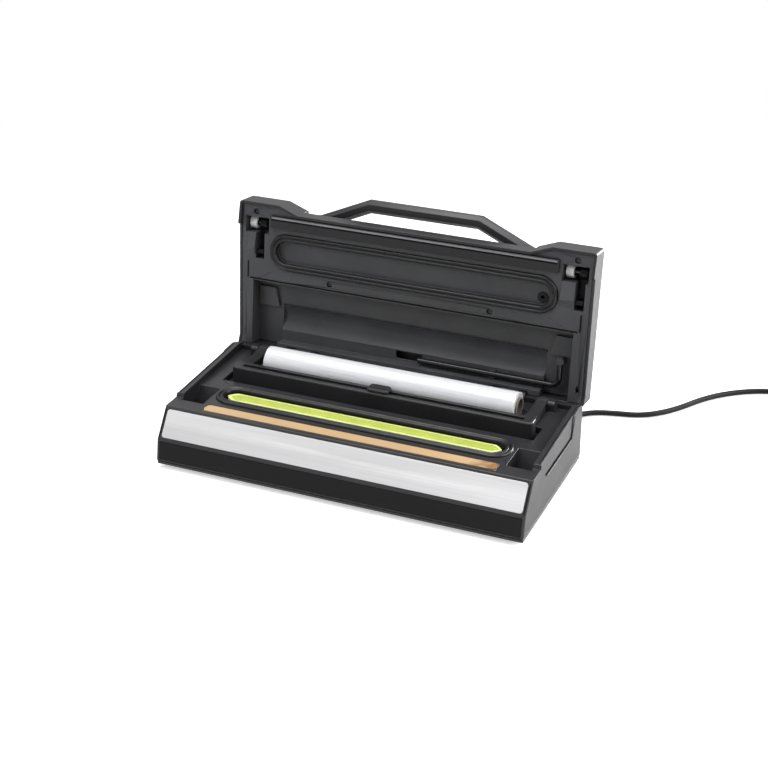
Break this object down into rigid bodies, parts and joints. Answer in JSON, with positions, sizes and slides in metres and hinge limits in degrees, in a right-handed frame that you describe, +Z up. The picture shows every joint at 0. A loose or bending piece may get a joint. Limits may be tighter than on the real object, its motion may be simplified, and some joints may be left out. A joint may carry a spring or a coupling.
{
  "type": "vacuum sealer",
  "caption": "Household vacuum sealer with a hinged lid, carry and lock handle, film roll bay, swinging cutter rail, drip tray, heat seal bar and rubber seals.",
  "frame": {"origin": "under the middle of the open sealer, on the surface that the feet stand on", "axes": "+X to the right along the seal bar, +Y to the back, +Z up"},
  "size_m": [0.645, 0.4255, 0.2296],
  "materials": {
    "black_satin": "satin moulded",
    "black_matt": "matt moulded",
    "black_gloss": "gloss",
    "black_rubber": "matt",
    "seal_rubber": "smooth",
    "hose_rubber": "smooth",
    "cord_rubber": "satin",
    "brushed_trim": "brushed along its length",
    "screw_steel": "blackened",
    "zinc_steel": "bright zinc",
    "blade_steel": "ground",
    "heating_alloy": "rolled",
    "lime_plastic": "semi gloss",
    "phenolic": "matt",
    "tan_tape": "woven, coated",
    "board_green": "lacquered",
    "transformer_iron": "varnished",
    "clear_film": "translucent, embossed",
    "core_card": "card",
    "white_nylon": "moulded",
    "button_grey": "satin",
    "lamp_clear": "clear tinted",
    "plug_plastic": "satin",
    "pin_nickel": "nickel plated"
  },
  "bodies": {
    "base": {"base_housing": "black_satin", "base_plate": "black_satin", "rubber_feet": "black_rubber", "base_screws": "screw_steel", "front_trim": "brushed_trim", "front_fascia": "black_gloss", "base_gasket": "seal_rubber", "drip_tray": "lime_plastic", "heater_bar": "phenolic", "heating_wire": "heating_alloy", "release_tape": "tan_tape", "catch_bars": "zinc_steel", "hinge_pins": "zinc_steel", "pump_motor": "zinc_steel", "vacuum_pump": "black_satin", "pump_bracket": "zinc_steel", "control_board": "board_green", "board_stands": "black_satin", "transformer": "transformer_iron", "lid_switches": "black_satin", "strain_relief": "cord_rubber", "power_cord": "cord_rubber", "cord_coil": "cord_rubber", "plug": "plug_plastic", "plug_pins": "pin_nickel"},
    "lid": {"lid_cover": "black_satin", "lid_inner_plate": "black_matt", "lid_gasket": "seal_rubber", "pressure_strip": "seal_rubber", "suction_port": "black_gloss", "vacuum_hose": "hose_rubber", "hose_clip": "black_matt", "hose_elbow": "black_matt", "lid_screws": "screw_steel", "control_panel": "black_gloss", "indicator_lamps": "lamp_clear"},
    "handle": {"handle": "black_satin", "lock_shaft": "zinc_steel", "latch_hooks": "black_gloss", "hook_bushes": "white_nylon"},
    "cutter": {"cutter_rail": "black_satin", "cutter_arms": "black_satin", "cutter_pins": "zinc_steel"},
    "slider": {"cutter_knob": "black_satin", "cutter_blade": "blade_steel"},
    "roll": {"film_roll": "clear_film", "roll_core": "core_card"},
    "button_1": {"button_1": "button_grey"},
    "button_2": {"button_2": "button_grey"},
    "button_3": {"button_3": "button_grey"},
    "button_4": {"button_4": "button_grey"}
  },
  "joints": [
    {"name": "lid_hinge", "type": "hinge", "parent": "base", "child": "lid", "pos_m": [0, 0.0568, 0.064], "axis": [1, 0, 0], "range_deg": [0, 97.2]},
    {"name": "handle_pivot", "type": "hinge", "parent": "lid", "child": "handle", "pos_m": [0, 0.09065, 0.1963], "axis": [-1, 0, 0], "range_deg": [0, 64]},
    {"name": "cutter_lift", "type": "hinge", "parent": "base", "child": "cutter", "pos_m": [0, 0.0468, 0.066], "axis": [-1, 0, 0], "range_deg": [0, 4]},
    {"name": "cutter_slide", "type": "slide", "parent": "cutter", "child": "slider", "axis": [1, 0, 0], "range_m": [-0.138, 0.138]},
    {"name": "roll_spin", "type": "hinge", "parent": "base", "child": "roll", "pos_m": [0, 0.0228, 0.068], "axis": [1, 0, 0], "continuous": true},
    {"name": "button_1_press", "type": "slide", "parent": "lid", "child": "button_1", "axis": [0, -0.9921, 0.1253], "range_m": [0, 0.001], "stiffness_N_per_m": 300},
    {"name": "button_2_press", "type": "slide", "parent": "lid", "child": "button_2", "axis": [0, -0.9921, 0.1253], "range_m": [0, 0.001], "stiffness_N_per_m": 300},
    {"name": "button_3_press", "type": "slide", "parent": "lid", "child": "button_3", "axis": [0, -0.9921, 0.1253], "range_m": [0, 0.001], "stiffness_N_per_m": 300},
    {"name": "button_4_press", "type": "slide", "parent": "lid", "child": "button_4", "axis": [0, -0.9921, 0.1253], "range_m": [0, 0.001], "stiffness_N_per_m": 300}
  ]
}
